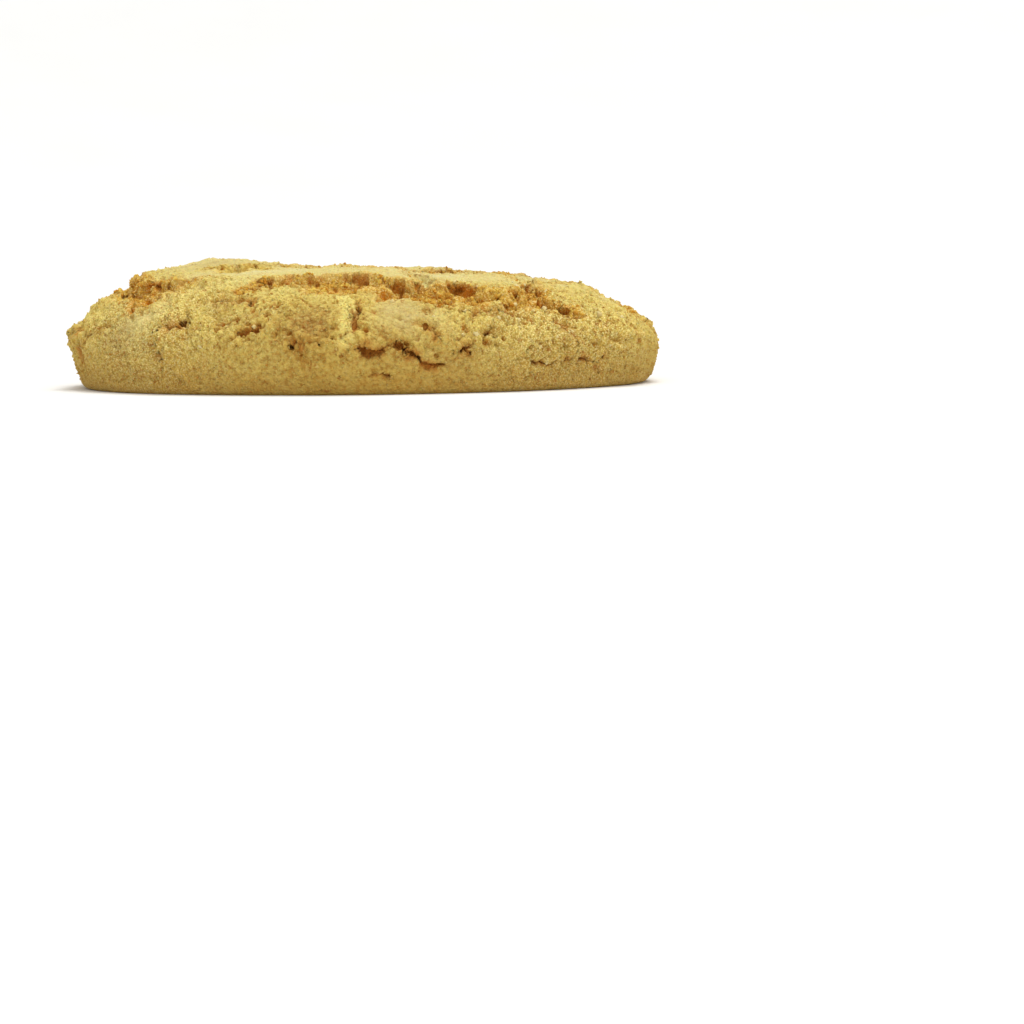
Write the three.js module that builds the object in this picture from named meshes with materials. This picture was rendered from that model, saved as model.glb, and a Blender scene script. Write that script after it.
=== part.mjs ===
// A round oatmeal cookie with a cracked top, 80 mm across and about 17 mm thick, lying on its
// flat base. Millimetres, +Z up, and the origin is the middle of the base. The side with the
// long torn band faces -Y.
//
// The cookie is one closed surface made of rings. Each ring runs round it at one place on the
// meridian: the curve from the middle of the top, over the shoulder, past the widest place and
// down to the rim of the base. Torn crust and splits are drawn on a flat map of that surface,
// where a point lies as far from the map's middle as it does along the meridian.

import * as THREE from "three";

// Driving dimensions
const RADIUS = 40; // at the widest place
const BASE_RADIUS = 37.2; // of the flat base
const WIDEST_HEIGHT = 6; // of the widest place above the base
const THICKNESS = 16.1; // at the middle of the crown
const CROWN_LEAN = 0.1; // the crown is this share thicker at the left edge, and thinner at the right
const SHOULDER = 4; // a larger number gives a flatter top and a tighter shoulder
const CROWN = 1.7; // a larger number gives a rounder shoulder
const FOOT = 2; // a larger number gives a tighter turn at the rim of the base

// Waves of the outline: how many go round, the share of the radius, and where the first one is
const WAVES = [
  { count: 2, share: 0.006, start: 1.6 },
  { count: 3, share: 0.005, start: 1.9 },
  { count: 5, share: 0.005, start: 0.7 },
  { count: 9, share: 0.003, start: 2.6 },
];

// Broad rises and dips of the crown
const MOUNDS = [
  { x: -24, y: 4, reach: 10, height: 0.5 },
  { x: -33, y: 0, reach: 4.5, height: -0.8 },
  { x: 22, y: -4, reach: 9, height: -0.4 },
  { x: 35, y: -2, reach: 6, height: -1.3 },
];
const MOUND_FADE = 4; // they fade out over this height above the widest place

// The net of triangles
const MERIDIAN_POINTS = 1500; // on each of the meridian's two curves
const RING_STEP = 1.17; // between rings, and between the points of a ring
const LEAST_RING = 6; // points, round the middle of the top
const BASE_RINGS = [{ share: 0.78, coarser: 4 }, { share: 0.4, coarser: 12 }];
const FADE_HEIGHT = 1.8; // relief fades out below this, so that the rim of the base stays flat

// Relief that is everywhere: `height` is from the lowest to the highest place
const SWELL = [
  { size: 24, height: 1 }, // the slump of the dough
  { size: 9, height: 0.8 }, // knobs and dips
  { size: 4.3, height: 0.45 },
];

// Relief where the crust is torn open
const CRUMB = { size: 2.4, height: 1.1 }; // broken crumb on the torn floor
const RAGGED = { size: 3.2, reach: 1.6 }; // how far the torn edge strays
const WALL = 0.8; // half the width of the slope from crust to floor
const LIP = { height: 0.3, reach: 1.4 }; // crust that curls up beside it
const STEP_REACH = 7; // how far a step between two plates of crust carries
const TIP = 0.04; // a break is cut off blunt this share of its length before its pointed end
const SPLIT_SECTION = { floor: 0.3, brink: 1.7 }; // shares of the half-width where the slope ends
const LEAST_SPLIT = 0.95; // a split of less half-width would fall between the points of the net

// Torn crust on the flat map. Going along a route, the plate on the left stands higher by `step`.
const TORN = [
  { half: 3.3, depth: 1.5, step: 0.9, route: [[-14, -27.5], [-9, -27], [-3, -28.5], [3, -30],
    [9, -30], [15, -30.5], [20, -28.5], [26, -26]] },
  { half: 1.8, depth: 1.3, step: 1.4, route: [[-34, 13], [-33.5, 2], [-32, -11], [-29, -18],
    [-25, -22], [-21, -19]] },
  { half: 1.6, depth: 1.2, step: 0.4, route: [[-22, -20], [-16, -12], [-9, -9], [-5, -2]] },
  { half: 2.4, depth: 1.5, step: 0, route: [[8, -28], [7, -18], [1, -10], [-5, -2], [-7, 8],
    [-2, 18], [-6, 28], [-4, 37]] },
  { half: 2, depth: 1.4, step: 0.3, route: [[1, -10], [10, -4], [16, 5], [24, 11], [31, 19],
    [36, 27]] },
  { half: 1.5, depth: 1.2, step: 0.7, route: [[21, -27], [23, -17], [18, -7], [16, 5]] },
  { half: 1.7, depth: 1.3, step: 0.2, route: [[-7, 8], [-17, 12], [-26, 11], [-35, 14]] },
  { half: 2.7, depth: 1.4, step: 0.7, route: [[23, 24], [15, 28], [6, 27], [-4, 29], [-14, 28],
    [-24, 24]] },
  { half: 1.2, depth: 1, step: 0.7, route: [[37, -12], [35.5, -2], [31, 7], [24, 11]] },
];

// Splits in the side and shoulder that face -Y. `bow` is how far the middle strays to the left.
const SPLITS = [
  { from: [-2, -43.8], to: [3, -43.6], bow: -1, half: 0.6, depth: 1.5 },
  { from: [3, -43.2], to: [7.8, -44.8], bow: 0.4, half: 0.6, depth: 1.5 },
  { from: [7.8, -45.1], to: [11.8, -44.5], bow: -0.3, half: 0.4, depth: 0.9 },
  { from: [12.5, -42.4], to: [15, -40.8], bow: 0, half: 0.5, depth: 1.1 },
  { from: [7.8, -39.8], to: [10.8, -41.9], bow: 0.5, half: 0.45, depth: 1 },
  { from: [-2.4, -35.5], to: [-2.5, -43.4], bow: 0.2, half: 1.2, depth: 0.9 },
  { from: [24.8, -39.2], to: [31, -33.6], bow: -0.5, half: 0.55, depth: 1.2 },
  { from: [31, -33.6], to: [37, -27], bow: -0.4, half: 0.45, depth: 1 },
  { from: [-28.8, -30], to: [-23.7, -31.9], bow: -0.4, half: 0.6, depth: 1.3 },
  { from: [-37.6, -17.3], to: [-34.2, -18.8], bow: -0.2, half: 0.5, depth: 1.1 },
  { from: [-42.4, -5], to: [-40.2, -13], bow: 0.6, half: 0.35, depth: 0.7 },
  { from: [-29.5, -32], to: [-29.8, -33.8], bow: 0.3, half: 0.4, depth: 0.9 },
  { from: [-19.8, -30], to: [-14, -33], bow: -0.9, half: 0.9, depth: 1.3 },
  { from: [-16.8, -37.8], to: [-12.8, -37.9], bow: -0.2, half: 0.55, depth: 1 },
  { from: [-10.4, -42], to: [-6.5, -43], bow: 0, half: 0.5, depth: 0.9 },
  { from: [13, -35.5], to: [21.6, -31.8], bow: -0.6, half: 0.7, depth: 1.2 },
  { from: [16.4, -36.4], to: [16.9, -38.9], bow: 0, half: 0.4, depth: 0.9 },
  { from: [24, -31.4], to: [30.4, -32.4], bow: 0.7, half: 0.5, depth: 1.2 },
  { from: [0.6, -47.3], to: [3.8, -47.6], bow: 0, half: 0.35, depth: 0.7 },
];

// Splits elsewhere wander by a seeded rule, and keep off the part of the map that SPLITS covers
const WANDERING = {
  count: 48,
  length: [4, 13],
  heading: [0.15, 0.85], // in half turns from straight outwards
  bow: 1.6,
  half: [0.4, 0.95],
  depth: [0.7, 1.4],
  nearest: 8, // to the middle of the top
  furthest: 47, // down the side
};
const COVERED = { side: 38, front: -19 }; // |u| under `side`, and v under `front`
const SPLIT_STEP = 1.6; // a split turns after each stretch of this length
const SPLIT_JAG = 0.9; // and strays by up to half of this
const SEED = 20771;

const clamp = THREE.MathUtils.clamp;
const lerp = THREE.MathUtils.lerp;
const smoothstep = THREE.MathUtils.smoothstep;
const FULL_TURN = 2 * Math.PI;

// A repeatable number from 0 to 1 for each point of a whole-number lattice.
function chance(i, j, k) {
  let h = Math.imul(i, 374761393) ^ Math.imul(j, 668265263) ^ Math.imul(k, 1274126177) ^ SEED;
  h = Math.imul(h ^ (h >>> 13), 1103515245);
  h = Math.imul(h ^ (h >>> 15), 739982445);
  return ((h ^ (h >>> 16)) >>> 0) / 4294967296;
}

// Smooth noise from -1 to 1 with lumps about `size` across. Each layer is a different noise.
function noise(x, y, z, size, layer) {
  const [a, b, c] = [x / size + 100 * layer, y / size, z / size];
  const [i, j, k] = [Math.floor(a), Math.floor(b), Math.floor(c)];
  const [p, q, r] = [a - i, b - j, c - k].map((t) => t * t * t * (t * (6 * t - 15) + 10));
  const row = (dj, dk) => lerp(chance(i, j + dj, k + dk), chance(i + 1, j + dj, k + dk), p);
  const sheet = (dk) => lerp(row(0, dk), row(1, dk), q);
  return 2 * lerp(sheet(0), sheet(1), r) - 1;
}

// The meridian as points {reach, height, length}: the distance from the axis as a share of
// RADIUS, the height above the base, and the distance along the curve from the middle of the top.
function meridian(count = MERIDIAN_POINTS) {
  const points = [];
  for (let i = 0; i <= count; i++) {
    const turn = (i / count) * (Math.PI / 2);
    const rise = Math.max(Math.cos(turn), 0) ** (2 / CROWN);
    const height = lerp(WIDEST_HEIGHT, THICKNESS, rise);
    points.push({ reach: Math.sin(turn) ** (2 / SHOULDER), height });
  }
  for (let i = 1; i <= count; i++) {
    const fall = i / count;
    const radius = lerp(BASE_RADIUS, RADIUS, Math.sqrt(Math.max(1 - fall ** FOOT, 0)));
    points.push({ reach: radius / RADIUS, height: WIDEST_HEIGHT * (1 - fall) });
  }
  points[0].length = 0;
  for (let i = 1; i < points.length; i++) {
    const [a, b] = [points[i - 1], points[i]];
    b.length = a.length + Math.hypot((b.reach - a.reach) * RADIUS, b.height - a.height);
  }
  return points;
}

// The meridian's point and outward normal at a distance along it.
function pointOnMeridian(points, length) {
  const found = points.findIndex((point) => point.length >= length);
  const i = clamp(found < 0 ? points.length - 1 : found, 1, points.length - 1);
  const [a, b] = [points[i - 1], points[i]];
  const share = clamp((length - a.length) / (b.length - a.length), 0, 1);
  const [out, up] = [(b.reach - a.reach) * RADIUS, b.height - a.height];
  const size = Math.hypot(out, up);
  return {
    reach: lerp(a.reach, b.reach, share),
    height: lerp(a.height, b.height, share),
    normal: { out: -up / size, up: out / size },
  };
}

// The outline's waviness, as a factor on the radius at a bearing.
function outline(bearing) {
  let factor = 1;
  for (const { count, share, start } of WAVES) factor += share * Math.cos(count * bearing + start);
  return factor;
}

// The crown's height at a place, leaning and lumpy, from what the meridian gives there.
function crownHeight(x, y, height) {
  const over = Math.max(height - WIDEST_HEIGHT, 0);
  const lean = 1 - CROWN_LEAN * Math.sin((Math.PI / 2) * clamp(x / RADIUS, -1, 1));
  let mound = 0;
  for (const { x: atX, y: atY, reach, height: rise } of MOUNDS)
    mound += rise * Math.exp(-((x - atX) ** 2 + (y - atY) ** 2) / reach ** 2);
  return Math.min(height, WIDEST_HEIGHT) + over * lean + mound * clamp(over / MOUND_FADE, 0, 1);
}

// A jagged route from one place on the map to another.
function jaggedRoute(from, to, bow, number) {
  const [du, dv] = [to[0] - from[0], to[1] - from[1]];
  const length = Math.hypot(du, dv);
  const steps = Math.max(2, Math.round(length / SPLIT_STEP));
  const route = [];
  for (let n = 0; n <= steps; n++) {
    const share = n / steps;
    const aside = 4 * bow * share * (1 - share) + SPLIT_JAG * (chance(number, n, 9) - 0.5);
    route.push([from[0] + share * du - (aside * dv) / length,
      from[1] + share * dv + (aside * du) / length]);
  }
  return route;
}

// The wandering splits run more or less round the cookie, as crust splits when it spreads.
function wanderingSplits() {
  const { count, length, heading, bow, half, depth, nearest, furthest } = WANDERING;
  const splits = [];
  for (let n = 0; splits.length < count; n++) {
    const draw = (use) => chance(n, use, 0);
    const bearing = FULL_TURN * draw(1);
    const out = furthest * Math.sqrt(draw(2));
    const towards = bearing + Math.PI * lerp(...heading, draw(3));
    const run = lerp(...length, draw(4));
    const from = [out * Math.cos(bearing), out * Math.sin(bearing)];
    const to = [from[0] + run * Math.cos(towards), from[1] + run * Math.sin(towards)];
    const allowed = ([u, v]) => Math.hypot(u, v) > nearest && Math.hypot(u, v) < furthest
      && !(Math.abs(u) < COVERED.side && v < COVERED.front);
    if (!allowed(from) || !allowed(to)) continue;
    splits.push({ from, to, bow: bow * (draw(5) - 0.5), half: lerp(...half, draw(6)),
      depth: lerp(...depth, draw(7)) });
  }
  return splits;
}

// The distance on the map from a route, how far along it that is from 0 to 1, and on which side.
function nearestOnRoute(route, u, v) {
  let best = { distance: Infinity };
  for (let i = 1; i < route.length; i++) {
    const [[au, av], [bu, bv]] = [route[i - 1], route[i]];
    const [du, dv] = [bu - au, bv - av];
    const share = clamp(((u - au) * du + (v - av) * dv) / (du * du + dv * dv), 0, 1);
    const distance = Math.hypot(u - au - share * du, v - av - share * dv);
    if (distance >= best.distance) continue;
    const side = Math.sign(du * (v - av) - dv * (u - au));
    best = { distance, along: (i - 1 + share) / (route.length - 1), side };
  }
  return best;
}

const splits = [...SPLITS, ...wanderingSplits()].map(({ from, to, bow, half, depth }, number) => ({
  route: jaggedRoute(from, to, bow, number),
  half: Math.max(half, LEAST_SPLIT),
  depth,
}));

// How wide a break still is, part of the way along it: it tapers to both ends.
function taper(along) {
  return Math.sqrt(Math.sin(Math.PI * clamp(along, TIP, 1 - TIP)));
}

// The height of the relief over the smooth cookie, at a place on the map and in space.
function relief(u, v, x, y, z) {
  let height = 0;
  SWELL.forEach((swell, layer) => {
    height += (swell.height / 2) * noise(x, y, z, swell.size, layer);
  });
  const stray = RAGGED.reach * noise(x, y, z, RAGGED.size, 3);
  let [torn, cut, lip] = [0, 0, 0];
  for (const { half, depth, step, route } of TORN) {
    const { distance, along, side } = nearestOnRoute(route, u, v);
    const edge = distance + stray - half * taper(along);
    const share = 1 - smoothstep(edge, -WALL, WALL);
    torn = Math.max(torn, share);
    cut = Math.max(cut, share * depth);
    lip = Math.max(lip, Math.exp(-((edge / LIP.reach) ** 2)));
    const across = side * smoothstep(distance, 0, half);
    height += (step / 2) * across * Math.sin(Math.PI * along) * Math.exp(-distance / STEP_REACH);
  }
  for (const { half, depth, route } of splits) {
    const { distance, along } = nearestOnRoute(route, u, v);
    const [floor, brink] = [SPLIT_SECTION.floor, SPLIT_SECTION.brink].map((s) => s * half * taper(along));
    cut = Math.max(cut, depth * (1 - smoothstep(distance, floor, brink)));
  }
  const crumb = (CRUMB.height / 2) * noise(x, y, z, CRUMB.size, 4);
  return height + LIP.height * lip * (1 - torn) + torn * crumb - cut;
}

// The cookie's surface at a distance along the meridian and a bearing.
function surfacePoint(points, length, bearing) {
  const { reach, height, normal } = pointOnMeridian(points, length);
  const [cos, sin] = [Math.cos(bearing), Math.sin(bearing)];
  const radius = reach * RADIUS * outline(bearing);
  const [x, y] = [radius * cos, radius * sin];
  const z = crownHeight(x, y, height);
  const lift = relief(length * cos, length * sin, x, y, z) * smoothstep(z, 0, FADE_HEIGHT);
  return [x + lift * normal.out * cos, y + lift * normal.out * sin, z + lift * normal.up];
}

// A ring of evenly spaced bearings. `turned` moves them on by part of a space.
function ringOf(count, first, turned) {
  const bearings = Array.from({ length: count }, (_, n) => (FULL_TURN * (n + turned)) / count);
  return { count, first, bearings };
}

// Triangles between two rings of unlike counts: the ring whose next point comes first goes on.
function zip(inner, outer) {
  const bearing = (ring, n) => ring.bearings[n % ring.count] + FULL_TURN * Math.floor(n / ring.count);
  const index = (ring, n) => ring.first + (n % ring.count);
  const triangles = [];
  let [i, o] = [0, 0];
  while (i < inner.count || o < outer.count) {
    const outerFirst = bearing(outer, o + 1) <= bearing(inner, i + 1);
    if (i === inner.count || (o < outer.count && outerFirst)) {
      triangles.push([index(inner, i), index(outer, o), index(outer, o + 1)]);
      o++;
    } else {
      triangles.push([index(inner, i), index(outer, o), index(inner, i + 1)]);
      i++;
    }
  }
  return triangles;
}

// Triangles that close a ring over a point in its middle.
function fan(middle, ring) {
  return ring.bearings.map((_, n) => [middle, ring.first + n, ring.first + ((n + 1) % ring.count)]);
}

function cookieGeometry() {
  const points = meridian();
  const wholeLength = points[points.length - 1].length;
  const rings = Math.round(wholeLength / RING_STEP);
  const positions = [surfacePoint(points, 0, 0)];
  const triangles = [];

  // Crown and side: rings from the middle of the top down to the rim of the base
  let last = null;
  for (let r = 1; r <= rings; r++) {
    const length = (wholeLength * r) / rings;
    const girth = FULL_TURN * RADIUS * pointOnMeridian(points, length).reach;
    const ring = ringOf(Math.max(LEAST_RING, Math.round(girth / RING_STEP)), positions.length, (r % 2) / 2);
    for (const bearing of ring.bearings) positions.push(surfacePoint(points, length, bearing));
    triangles.push(...(last ? zip(last, ring) : fan(0, ring)));
    last = ring;
  }

  // The flat base: coarser rings inwards to its middle, with their faces turned down
  const underside = [];
  const rim = last;
  for (const { share, coarser } of BASE_RINGS) {
    const ring = ringOf(Math.round(rim.count / coarser), positions.length, 0);
    for (const bearing of ring.bearings) {
      const radius = share * BASE_RADIUS;
      positions.push([radius * Math.cos(bearing), radius * Math.sin(bearing), 0]);
    }
    underside.push(...zip(ring, last));
    last = ring;
  }
  underside.push(...fan(positions.length, last));
  positions.push([0, 0, 0]);
  for (const [a, b, c] of underside) triangles.push([a, c, b]);

  const geometry = new THREE.BufferGeometry();
  geometry.setAttribute("position", new THREE.Float32BufferAttribute(positions.flat(), 3));
  geometry.setIndex(triangles.flat());
  geometry.computeBoundingBox();
  const middle = geometry.boundingBox.getCenter(new THREE.Vector3());
  geometry.translate(-middle.x, -middle.y, 0);
  geometry.computeVertexNormals();
  return geometry;
}

const crust = new THREE.MeshStandardMaterial({ color: 0xc8a35f, roughness: 0.9, metalness: 0 });
const cookie = new THREE.Mesh(cookieGeometry(), crust);
cookie.name = "cookie";

const part = new THREE.Group();
part.add(cookie);

export default part;
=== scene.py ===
# A round oatmeal cookie with a cracked top, ready for its picture. Metres, +Z up.
#
# The crust is made by the rule that its solid is made by: rings on a meridian, with torn crust and
# splits drawn on a flat map of the surface, where a point lies as far from the map's middle as it
# does along the meridian. Here it is worked out much finer, with the crumb, pits, short cracks and
# sandy grain that the solid leaves out. Sizes of the cookie are in millimetres until its mesh is made.

import math
from itertools import product

import bmesh
import bpy
import numpy as np
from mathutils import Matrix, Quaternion, Vector


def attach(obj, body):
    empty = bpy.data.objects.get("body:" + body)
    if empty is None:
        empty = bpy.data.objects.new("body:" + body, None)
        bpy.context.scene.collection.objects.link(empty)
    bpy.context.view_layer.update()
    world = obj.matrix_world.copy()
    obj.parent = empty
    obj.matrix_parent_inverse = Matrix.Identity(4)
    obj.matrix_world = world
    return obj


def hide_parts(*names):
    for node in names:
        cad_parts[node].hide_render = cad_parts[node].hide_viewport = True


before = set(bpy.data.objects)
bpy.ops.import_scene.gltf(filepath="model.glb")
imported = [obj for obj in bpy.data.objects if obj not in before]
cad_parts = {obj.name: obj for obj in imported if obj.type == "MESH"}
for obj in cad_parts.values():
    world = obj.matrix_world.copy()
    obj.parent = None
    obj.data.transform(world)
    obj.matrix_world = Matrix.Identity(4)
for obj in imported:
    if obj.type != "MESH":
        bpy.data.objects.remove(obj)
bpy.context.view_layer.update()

MM = 0.001
SEED = 20771

# The cookie's form
RADIUS = 40  # at the widest place
BASE_RADIUS = 37.2  # of the flat base
WIDEST_HEIGHT = 6  # of the widest place above the base
THICKNESS = 16.1  # at the middle of the crown
CROWN_LEAN = 0.1  # the crown is this share thicker at the left edge, and thinner at the right
SHOULDER = 4  # a larger number gives a flatter top and a tighter shoulder
CROWN = 1.7  # a larger number gives a rounder shoulder
FOOT = 2  # a larger number gives a tighter turn at the rim of the base
FADE_HEIGHT = 1.8  # relief fades out below this, so that the rim of the base stays flat

# Waves of the outline: how many go round, the share of the radius, and where the first one is
WAVES = [(2, 0.006, 1.6), (3, 0.005, 1.9), (5, 0.005, 0.7), (9, 0.003, 2.6)]

# Broad rises and dips of the crown: place, reach and height
MOUNDS = [(-24, 4, 10, 0.5), (-33, 0, 4.5, -0.8), (22, -4, 9, -0.4), (35, -2, 6, -1.3)]
MOUND_FADE = 4  # they fade out over this height above the widest place

# Relief that is everywhere: the size of its lumps, and its height from the lowest to the highest
SWELL = [(24, 1), (9, 0.8), (4.3, 0.45)]

# Torn crust on the flat map. Going along a route, the plate on the left stands higher by `step`.
TORN = [
    {"half": 3.3, "depth": 1.5, "step": 0.9, "route": [(-14, -27.5), (-9, -27), (-3, -28.5),
     (3, -30), (9, -30), (15, -30.5), (20, -28.5), (26, -26)]},
    {"half": 1.8, "depth": 1.3, "step": 1.4, "route": [(-34, 13), (-33.5, 2), (-32, -11),
     (-29, -18), (-25, -22), (-21, -19)]},
    {"half": 1.6, "depth": 1.2, "step": 0.4, "route": [(-22, -20), (-16, -12), (-9, -9), (-5, -2)]},
    {"half": 2.4, "depth": 1.5, "step": 0, "route": [(8, -28), (7, -18), (1, -10), (-5, -2),
     (-7, 8), (-2, 18), (-6, 28), (-4, 37)]},
    {"half": 2, "depth": 1.4, "step": 0.3, "route": [(1, -10), (10, -4), (16, 5), (24, 11),
     (31, 19), (36, 27)]},
    {"half": 1.5, "depth": 1.2, "step": 0.7, "route": [(21, -27), (23, -17), (18, -7), (16, 5)]},
    {"half": 1.7, "depth": 1.3, "step": 0.2, "route": [(-7, 8), (-17, 12), (-26, 11), (-35, 14)]},
    {"half": 2.7, "depth": 1.4, "step": 0.7, "route": [(23, 24), (15, 28), (6, 27), (-4, 29),
     (-14, 28), (-24, 24)]},
    {"half": 1.2, "depth": 1, "step": 0.7, "route": [(37, -12), (35.5, -2), (31, 7), (24, 11)]},
]
RAGGED = [(3.2, 1.6), (1.1, 0.6)]  # the torn edge's bays and nicks: their size, and how far they stray
WALL = 0.7  # half the width of the slope from crust to torn floor
LIP = {"height": 0.15, "reach": 1.2}  # crust that curls up beside it
BROKEN_EDGE = (-0.2, 1.6)  # broken crumb gives way to skin here, outwards from the torn edge
STEP_REACH = 7  # how far a step between two plates of crust carries

# Splits in the side and shoulder that face -Y: from, to, how far the middle strays to the left,
# the half-width and the depth
SPLITS = [
    ((-2, -43.8), (3, -43.6), -1, 1.1, 1.7),
    ((3, -43.2), (7.8, -44.8), 0.4, 1.0, 1.6),
    ((7.8, -45.1), (11.8, -44.5), -0.3, 0.6, 1.1),
    ((12.5, -42.4), (15, -40.8), 0, 0.65, 1.2),
    ((7.8, -39.8), (10.8, -41.9), 0.5, 0.6, 1.1),
    ((-2.4, -35.5), (-2.5, -43.4), 0.2, 1.2, 0.3),
    ((-1.2, -35.2), (-1.4, -41.5), 0.2, 0.45, 0.8),
    ((24.8, -39.2), (31, -33.6), -0.5, 0.85, 1.3),
    ((31, -33.6), (37, -27), -0.4, 0.75, 1.2),
    ((-28.8, -30), (-23.7, -31.9), -0.4, 0.6, 1.3),
    ((-37.6, -17.3), (-34.2, -18.8), -0.2, 0.5, 1.1),
    ((-42.4, -5), (-40.2, -13), 0.6, 0.35, 0.7),
    ((-29.5, -32), (-29.8, -33.8), 0.3, 0.4, 0.9),
    ((-19.8, -30), (-14, -33), -0.9, 0.9, 1.3),
    ((-16.8, -37.8), (-12.8, -37.9), -0.2, 0.55, 1),
    ((-10.4, -42), (-6.5, -43), 0, 0.5, 0.9),
    ((13, -35.5), (21.6, -31.8), -0.6, 0.95, 1.4),
    ((16.4, -36.4), (16.9, -38.9), 0, 0.4, 0.9),
    ((24, -31.4), (30.4, -32.4), 0.7, 0.5, 1.2),
    ((0.6, -47.3), (3.8, -47.6), 0, 0.35, 0.7),
]
# Splits elsewhere wander by a seeded rule, and keep off the part of the map that SPLITS covers
WANDERING = {"count": 48, "length": (4, 13), "heading": (0.15, 0.85), "bow": 1.6,
             "half": (0.4, 0.95), "depth": (0.7, 1.4), "nearest": 8, "furthest": 47}
COVERED = {"side": 38, "front": -19}  # |u| under `side`, and v under `front`
SPLIT_STEP = 1.6  # a split turns after each stretch of this length
SPLIT_JAG = 0.9  # and strays by up to half of this
SPLIT_FRAY = [(1.4, 0.2), (0.7, 0.22), (0.35, 0.18)]  # its edges' bays: size, and how far they stray
# A split pinches and gapes along its way, to these shares of its width
PINCH = {"size": 1.8, "width": (0.35, 1.45), "edge": (-0.35, 0.35)}
SPLIT_WIDTH = 0.75  # the solid's splits are wider than the real ones, which are this share as wide
SPLIT_SECTION = (0.3, 1.3)  # shares of the half-width where its slope ends and begins
DARK_DEPTH = (0.3, 0.9)  # splits are painted brown inside, as shade, from about this deep
SPLIT_SHADE_FADE = (0.5, 2)  # shares of the half-width where the painted brown shade inside a split fades
TIP = 0.04  # a break is cut off blunt this share of its length before its pointed end
FRAYED = 1.7  # the crust is broken into crumb this far beside a split
# The palest break, opened last. Its colour fades out from a share of its half-width, unevenly.
FRESH_BREAK = {"route": [(-2.6, -34.6), (-2.2, -38), (-2.7, -42.6)], "half": 1.3, "fades": 0.4,
               "uneven": {"size": 1.2, "far": 0.5}}

# Fine relief, from here on only for the eye
SHOULDER_ZONE = (24, 31)  # on the map, where the plates of the top give way to the shoulder
FIRM_SIDE = (3, 7)  # the side is firm below the first height, and crumbles freely above the second
# Where the crust has baked smooth, is sandiest and crumbles most, on the map: place, reach and how
# much. Elsewhere it is sandier and more crumbly in patches, by noises of these sizes and weights.
SMOOTHER = [(6, -37, 4.5, 0.7), (-14, -14, 9, 1.3), (8, -17, 8, 0.95), (28, -8, 6, 1),
            (-30, -24, 4, 0.5)]
SANDIER = [(-33, -28, 15, 1.3), (31, -34, 15, 1.6)]
CRUMBLIER = [(24, -37, 8, 0.8), (13, -37, 4.5, 0.6), (-19, -34, 7, 0.7), (32, -28, 7, 0.8)]
SANDY_PATCHES = {"noise": [(11, 1)], "edge": (0, 0.4), "most": 0.7}
CRUMBLY_PATCHES = {"noise": [(7, 1), (2, 0.5)], "edge": (-0.2, 0.6), "most": 0.7}
CRUMBLIER_LEAST = 0.6  # CRUMBLIER counts by at least this share between those patches
PLATE_SHARE = 0.55  # the plates of the top that SMOOTHER leaves out are this smooth
PLATE_SKIN = 0.4  # a smooth plate has lumps this share as high
SANDY_SKIN = 1.5  # sandy skin has lumps higher by this share
# Where the crust is darker than the rest, on the map, partly baked browner and partly painted shade by
# the cracks and holes of the front: place, reach and how much
BROWNED_AND_SHADED = [(-7.8, -40, 4.2, 1.3), (6, -37, 4.5, 0.3), (-16, -37, 3, 0.5), (-34, -24, 4, 0.6),
           (31, -33, 4, 0.15), (12, -43, 4, 0.4), (2, -43.5, 3, 0.6), (5, -38.5, 4.5, 0.3),
           (-19, -32, 2, 0.8), (14, 6, 9, 0.7), (-12, 20, 7, 0.6), (-20, -6, 6, 0.5),
           (4, 36, 7, 0.7), (34, 14, 6, 0.6)]
# Short jagged cracks in patches of the crust. They run where a winding noise is nought, and `edge` is
# how far from nought it is at their floor and brink. On the flat top they are this share as deep.
FISSURES = {"size": 5, "octaves": 4, "weaker": 1.6, "edge": (0.02, 0.1), "depth": 0.6,
            "patch": 3.6, "patch_edge": (0.05, 0.35), "on_top": 0.4}
TORN_FLOOR = {"size": 2.4, "height": 1.1}  # the floor of torn crust rolls
# Broken crumb hangs together in clumps, with creases where the noise is nought: size and height
CLUMPS = [(5, 1.1), (2.4, 0.8)]
CRUMB_CEILING = (0.7, 0.28)  # torn crumb stays low, on the shoulder and on the flat top
CREASE = 0.25  # the noise's usual distance from nought
# Clumps are made of lumps, and the skin has them too, lower: size, and height in crumb and on skin
LUMPS = [(1.5, 0.5, 0.12), (0.85, 0.5, 0.15), (0.45, 0.32, 0.16)]
DOME = {"reach": 0.9, "height": (0.6, 1.3), "sunk": 0.55}  # a lump's form, in shares of its size
# Round holes that steam left, about `size` apart, in this share of the places for one
PITS = {"size": 1.3, "radius": (0.25, 0.65), "depth": 1.2, "share": 0.8}  # in crumbly crust
HOLES = {"size": 2.2, "radius": (0.45, 1.05), "depth": 1.4, "share": 1.0}  # in torn crust
HOLE_BRINK = {"size": 0.7, "strays": 0.5, "floor": 0.4}  # the last two are shares of the radius
STEAMY = 0.6  # crust this crumbly or more has all its pits
POCKETS = {"sizes": (1.2, 0.6), "depth": 1.1, "edge": (0.1, 0.5)}  # winding hollows in torn crust
# Crust is painted with the warm shade of a hollow from this depth to these, on skin and where torn, and
# down a hole. So are creases between lumps, from where they begin to where they are lowest, on skin and
# in crumb.
HOLLOW_SHADE = {"from": 0.15, "to": (0.8, 0.5), "hole": (0.1, 0.6), "crease": (0.1, 0.4),
          "crease_most": (0.4, 0.85)}
CREST_LIGHT = (0.0, 0.35)  # and painted paler, as light on a crest, from here to here above a lump's middle height
MIDDLE_TINT = 0.5  # grains are paler above it and darker below
GRAIN_TOPS = 0.45  # the solid's surface is level with the tops of the grains, this far above the skin
SPLIT_BROWNING_AND_SHADE = (1.3, 0.7)  # the crust is darker beside a split, partly browner and partly painted shade: how far, and how much
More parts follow.
